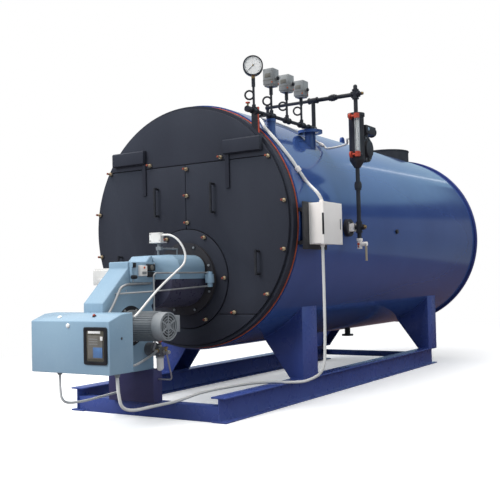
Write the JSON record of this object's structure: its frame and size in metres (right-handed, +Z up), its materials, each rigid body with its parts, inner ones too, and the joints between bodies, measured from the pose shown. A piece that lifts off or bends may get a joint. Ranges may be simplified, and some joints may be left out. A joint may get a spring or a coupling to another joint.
{
  "type": "fire-tube steam boiler",
  "caption": "Horizontal cylindrical oil-fired steam boiler on a skid, with a bolted black front, a burner with fan and control panel, a steam header and a water level column.",
  "frame": {"origin": "On the floor, under the middle of the front cross member's underside.", "axes": "+Z up, +Y from the burner front to the back end along the boiler, +X to the level column side."},
  "size_m": [2.1598, 5.746, 2.645],
  "materials": {
    "shell_paint": "satin blue paint",
    "stand_paint": "satin dark blue paint",
    "black_paint": "satin black paint",
    "plain_iron": "dark iron",
    "pipe_iron": "dark painted pipe",
    "gasket": "matt red",
    "burner_paint": "satin light blue paint",
    "motor_paint": "grey paint",
    "grey_box": "grey paint",
    "white_box": "matt off-white",
    "cable": "matt off-white",
    "line_tube": "bare tube",
    "valve_red": "red paint",
    "sight_glass": "clear",
    "cock_brass": "dull brass"
  },
  "bodies": {
    "root": {"skid_rails": "shell_paint", "cross_members": "shell_paint", "front_legs": "shell_paint", "rear_legs": "shell_paint", "shell_cladding": "shell_paint", "rear_cover": "shell_paint", "rear_access_cover": "shell_paint", "lifting_lugs": "shell_paint", "header_nozzles": "shell_paint", "burner_stand": "stand_paint", "burner_drum": "stand_paint", "front_ring": "black_paint", "front_panels": "black_paint", "left_door": "black_paint", "right_door": "black_paint", "throat_plate": "black_paint", "hanger_arms": "black_paint", "door_handles": "black_paint", "header_bracket": "black_paint", "flue_collar": "black_paint", "shell_stubs": "black_paint", "level_chamber": "black_paint", "level_switch": "black_paint", "panel_window": "black_paint", "pressure_gauge": "black_paint", "front_tube_plate": "plain_iron", "door_frame": "plain_iron", "burner_flange": "plain_iron", "oil_pump": "plain_iron", "steam_header": "pipe_iron", "siphon_stems": "pipe_iron", "column_pipes": "pipe_iron", "front_gasket": "gasket", "burner_head": "burner_paint", "fan_casing": "burner_paint", "control_panel": "burner_paint", "burner_controls": "burner_paint", "fan_motor": "motor_paint", "pressure_switches": "grey_box", "junction_box": "white_box", "column_valve": "white_box", "ignition_box": "white_box", "air_switch": "white_box", "shoulder_conduits": "cable", "panel_conduits": "cable", "air_switch_cable": "cable", "oil_lines": "line_tube", "glass_valves": "valve_red", "gauge_glass": "sight_glass", "drain_cock": "cock_brass"}
  },
  "joints": []
}
